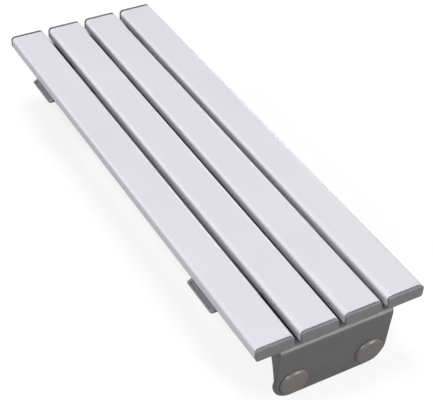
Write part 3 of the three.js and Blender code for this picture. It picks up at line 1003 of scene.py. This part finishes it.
# Rubber buffers
# Two round pads on each plate press on the wall of the bath. Each is moulded in one with a stem and a
# barb, which is pulled through the plate and holds it there.
buffer_radius = 19 * mm
buffer_height = 3.6 * mm
buffer_edge = 3.1 * mm
buffer_edge_fullness = 0.36
stem_radius = 4.7 * mm
barb_radius = 7 * mm
barb_tip_radius = 4 * mm
barb_length = 4.5 * mm
barb_straight = barb_length / 3
barb_edge = 0.5 * mm

# Moulded rubber: warm grey, with a fine stipple and the soft sheen of a polished mould.
buffer_finish = moulded_finish(
    "moulded_rubber_warm_grey",
    dark="76716d",
    light="827d79",
    grain=0.6 * mm,
    grain_height=0.03 * mm,
    gloss_low=0.22,
    gloss_high=0.30,
    ior=1.52,
)

pad_middle = (0, 0, seat_gap + buffer_height / 2)
pad = drum("buffer_pad_near_left", pad_middle, buffer_radius, buffer_height, sides=96)
choose(pad, "EDGE", lambda edge: lies_at(edge, Z, seat_gap + buffer_height))
bpy.ops.mesh.bevel(offset=buffer_edge, segments=8, profile=buffer_edge_fullness, affect="EDGES")
choose(pad, "EDGE", lambda edge: lies_at(edge, Z, seat_gap))
bpy.ops.mesh.bevel(offset=barb_edge, segments=2, affect="EDGES")
choose(pad, "FACE", lambda face: lies_at(face, Z, seat_gap) and is_drum_end(face))
bpy.ops.mesh.inset(thickness=buffer_radius - barb_edge - stem_radius)
for drop, radius in (
    (bracket_wall + 2 * seat_gap, stem_radius),
    (0, barb_radius - barb_edge),
    (barb_edge, barb_radius),
    (barb_straight - barb_edge, barb_radius),
    (barb_length - barb_straight - barb_edge, barb_tip_radius),
    (barb_edge, barb_tip_radius - barb_edge),
):
    bpy.ops.mesh.extrude_region_move(TRANSFORM_OT_translate={"value": (0, 0, -drop)})
    last = [face for face in bmesh.from_edit_mesh(pad.data).faces if face.select][0]
    now = max(point.co.xy.length for point in last.verts)
    bpy.ops.transform.resize(value=(radius / now, radius / now, 1), center_override=(0, 0, 0))
alone(pad)
pad.rotation_euler.x = math.pi / 2 + lean
pad.location = on_plate(-buffer_x, plate_height - lobe_radius, 0)
pad = settled("buffer_pad_near_left")
shade(pad)
pads = {
    ("near", "left"): pad,
    ("near", "right"): copy_of(pad, "buffer_pad_near_right", (2 * buffer_x, 0, 0)),
}
for side in sides:
    pads["far", side] = copy_of(pads["near", side], f"buffer_pad_far_{side}", turned=True)
for (end, side), piece in pads.items():
    fit(piece, f"buffer_{end}_{side}", f"{end}_bracket", buffer_finish)


# Clamp bolts
# Two M6 bolts in each crossbar, zinc plated. The flat head lies flush in the bar, a square neck keeps the
# bolt from turning, and the shank passes through the arm's slot and down into the knob.
bolt_radius = 3 * mm
bolt_head_edge = 0.5 * mm
bolt_end_edge = 0.8 * mm

bolt_low, bolt_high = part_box("clamp_bolt_near_left")
bolt_place = Vector((-clamp_x, bar_y[0], 0))
shank_top = bolt_high.z - bolt_head_height / 2
bolt = drum(
    "slot_bolt_near_left", bolt_place + Vector((0, 0, shank_top)), bolt_head_radius, bolt_head_height
)
choose(bolt, "EDGE", lambda edge: lies_at(edge, Z, bolt_high.z))
bpy.ops.mesh.bevel(offset=bolt_head_edge, segments=3, affect="EDGES")
neck = block(
    "neck",
    bolt_place + Vector((-bolt_neck / 2, -bolt_neck / 2, bar_bottom)),
    bolt_place + Vector((bolt_neck / 2, bolt_neck / 2, shank_top)),
)
choose(neck, "EDGE", lambda edge: lies_at(edge, Z, bar_bottom) or runs_along(edge, Z))
bpy.ops.mesh.bevel(offset=bolt_head_edge, segments=2, affect="EDGES")
shank_middle = bolt_place + Vector((0, 0, (shank_top + bolt_low.z) / 2))
shank = drum("shank", shank_middle, bolt_radius, shank_top - bolt_low.z, sides=48)
choose(shank, "EDGE", lambda edge: lies_at(edge, Z, bolt_low.z))
bpy.ops.mesh.bevel(offset=bolt_end_edge, segments=1, affect="EDGES")
combine(bolt, [neck, shank], "UNION")
shade(bolt)


def four_of(first, name):
    """The near left piece and its copies: near right, far left and far right."""
    made = {("near", "left"): first}
    made["near", "right"] = copy_of(first, f"{name}_near_right", (2 * clamp_x, 0, 0))
    for side in sides:
        made["far", side] = copy_of(made["near", side], f"{name}_far_{side}", turned=True)
    return made


for (end, side), piece in four_of(bolt, "slot_bolt").items():
    fit(piece, f"clamp_bolt_{end}_{side}", "board", zinc_finish)


# Washers
# A steel washer lies under the arm on each bolt and spreads the knob's pressure. It is stamped from sheet,
# which rounds its edges, and zinc plated.
washer_edge = 0.3 * mm

washer_low, washer_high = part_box("clamp_washer_near_left")
washer_radius = (washer_high.x - washer_low.x) / 2
washer = drum(
    "slot_washer_near_left", (washer_low + washer_high) / 2, washer_radius, washer_high.z - washer_low.z
)
choose(washer, "FACE", is_drum_end)
bpy.ops.mesh.inset(thickness=washer_radius - bolt_radius - bore_gap)
bpy.ops.mesh.bridge_edge_loops()
choose(
    washer,
    "EDGE",
    lambda edge: not runs_along(edge, Z)
    and (centre(edge).xy - bolt_place.xy).length > washer_radius - point_slack,
)
bpy.ops.mesh.bevel(offset=washer_edge, segments=2, affect="EDGES")
shade(washer)
for (end, side), piece in four_of(washer, "slot_washer").items():
    fit(piece, f"clamp_washer_{end}_{side}", "board", zinc_finish)


# Clamp knobs
# A five-lobed hand knob turns on each bolt and clamps the arm to the crossbar. It is moulded in charcoal
# nylon, with a hub that bears on the washer and a shallow dish below.
knob_hub_radius = 9 * mm
knob_hub_height = 3 * mm
knob_radius = 17 * mm
knob_lobes = 5
knob_sides = 120
scallop_depth = 3.6 * mm
scallop_narrowing = 1.3
knob_edge = 2.4 * mm
knob_top_edge = 1.2 * mm
dish_radius = 8 * mm
dish_depth = 0.8 * mm
bore_below_insert = 1.2 * mm
hex_sides = 6
hex_turn = math.pi / hex_sides

# Charcoal nylon: moulded with a fine matt grain, and a little glossier where hands polish it.
knob_finish = moulded_finish(
    "moulded_nylon_charcoal",
    dark="434244",
    light="505052",
    grain=0.5 * mm,
    grain_height=0.05 * mm,
    gloss_low=0.4,
    gloss_high=0.52,
    ior=1.53,
)

knob_low, knob_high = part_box("clamp_knob_near_left")
grip_top = knob_high.z - knob_hub_height
knob = drum(
    "hand_knob_near_left",
    bolt_place + Vector((0, 0, (knob_low.z + grip_top) / 2)),
    knob_radius,
    grip_top - knob_low.z,
    sides=knob_sides,
)


def from_scallop(point):
    """The angle about the bolt from a point of the knob to the middle of the nearest scallop."""
    spacing = 2 * math.pi / knob_lobes
    angle = math.atan2(point.co.y - bolt_place.y, point.co.x - bolt_place.x)
    return abs((angle + spacing / 2) % spacing - spacing / 2)


side_angle = 2 * math.pi / knob_sides
for step in range(knob_sides // knob_lobes // 2 + 1):
    choose(knob, "VERT", lambda point: abs(from_scallop(point) - step * side_angle) < side_angle / 2)
    hollow = ((1 + math.cos(knob_lobes * step * side_angle)) / 2) ** scallop_narrowing
    share = 1 - scallop_depth * hollow / knob_radius
    bpy.ops.transform.resize(value=(share, share, 1), center_override=bolt_place)
choose(knob, "EDGE", lambda edge: lies_at(edge, Z, knob_low.z))
bpy.ops.mesh.bevel(offset=knob_edge, segments=5, affect="EDGES")
choose(knob, "EDGE", lambda edge: lies_at(edge, Z, grip_top))
bpy.ops.mesh.bevel(offset=knob_top_edge, segments=3, affect="EDGES")
hub = drum(
    "hub",
    bolt_place + Vector((0, 0, (knob_high.z + grip_top) / 2 - overrun)),
    knob_hub_radius,
    knob_hub_height + 2 * overrun,
)
choose(hub, "EDGE", lambda edge: lies_at(edge, Z, knob_high.z))
bpy.ops.mesh.bevel(offset=washer_edge, segments=2, affect="EDGES")
combine(knob, [hub], "UNION")

insert_low, insert_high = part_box("knob_insert_near_left")
hex_radius = (insert_high.x - insert_low.x) / 2
dish = drum("dish", bolt_place + Vector((0, 0, knob_low.z)), dish_radius, 2 * dish_depth)
hex_bore = drum(
    "hex_bore",
    bolt_place + Vector((0, 0, (insert_low.z - seat_gap + knob_high.z + overrun) / 2)),
    hex_radius + bore_gap,
    knob_high.z + overrun - insert_low.z + seat_gap,
    (0, 0, hex_turn),
    sides=hex_sides,
)
bolt_bore = drum(
    "bolt_bore",
    bolt_place + Vector((0, 0, (insert_low.z + knob_low.z + bore_below_insert) / 2)),
    bolt_radius + bore_gap,
    insert_low.z - knob_low.z - bore_below_insert,
    sides=32,
)
combine(knob, [dish, hex_bore, bolt_bore])
shade(knob)
for (end, side), piece in four_of(knob, "hand_knob").items():
    fit(piece, f"clamp_knob_{end}_{side}", f"knob_{end}_{side}", knob_finish)


# Knob inserts
# A hexagonal brass nut with an M6 thread takes the bolt in each knob. It is turned from bar, and the nylon
# is moulded round it, so that its six sides keep it from turning.
insert_edge = 0.4 * mm

# Free-turning brass: yellow metal with the fine rings of the lathe.
brass_dark = "a98d4c"
brass_light = "c2a565"
brass_gloss_low = 0.25
brass_gloss_high = 0.4

brass_finish, tree, shader, place = new_finish("turned_brass")
shader.inputs["Metallic"].default_value = 1.0
rings = add_node(
    tree, "ShaderNodeTexNoise", inputs={"Vector": place, "Scale": 1 / tool_mark, "Detail": 2.0}
)
colour = add_node(
    tree,
    "ShaderNodeMix",
    {"data_type": "RGBA"},
    {0: rings.outputs["Fac"], 6: linear(brass_dark), 7: linear(brass_light)},
)
gloss = add_node(
    tree,
    "ShaderNodeMapRange",
    inputs={"Value": rings.outputs["Fac"], "To Min": brass_gloss_low, "To Max": brass_gloss_high},
)
feed(tree, colour.outputs[2], shader, "Base Color")
feed(tree, gloss.outputs[0], shader, "Roughness")

insert_middle = (insert_low + insert_high) / 2
insert_height = insert_high.z - insert_low.z
insert = drum(
    "hex_insert_near_left", insert_middle, hex_radius, insert_height, (0, 0, hex_turn), sides=hex_sides
)
choose(insert, "EDGE", lambda edge: not runs_along(edge, Z))
bpy.ops.mesh.bevel(offset=insert_edge, segments=1, affect="EDGES")
combine(insert, [drum("thread_bore", insert_middle, bolt_radius + bore_gap, 2 * insert_height, sides=32)])
shade(insert)
for (end, side), piece in four_of(insert, "hex_insert").items():
    fit(piece, f"knob_insert_{end}_{side}", f"knob_{end}_{side}", brass_finish)
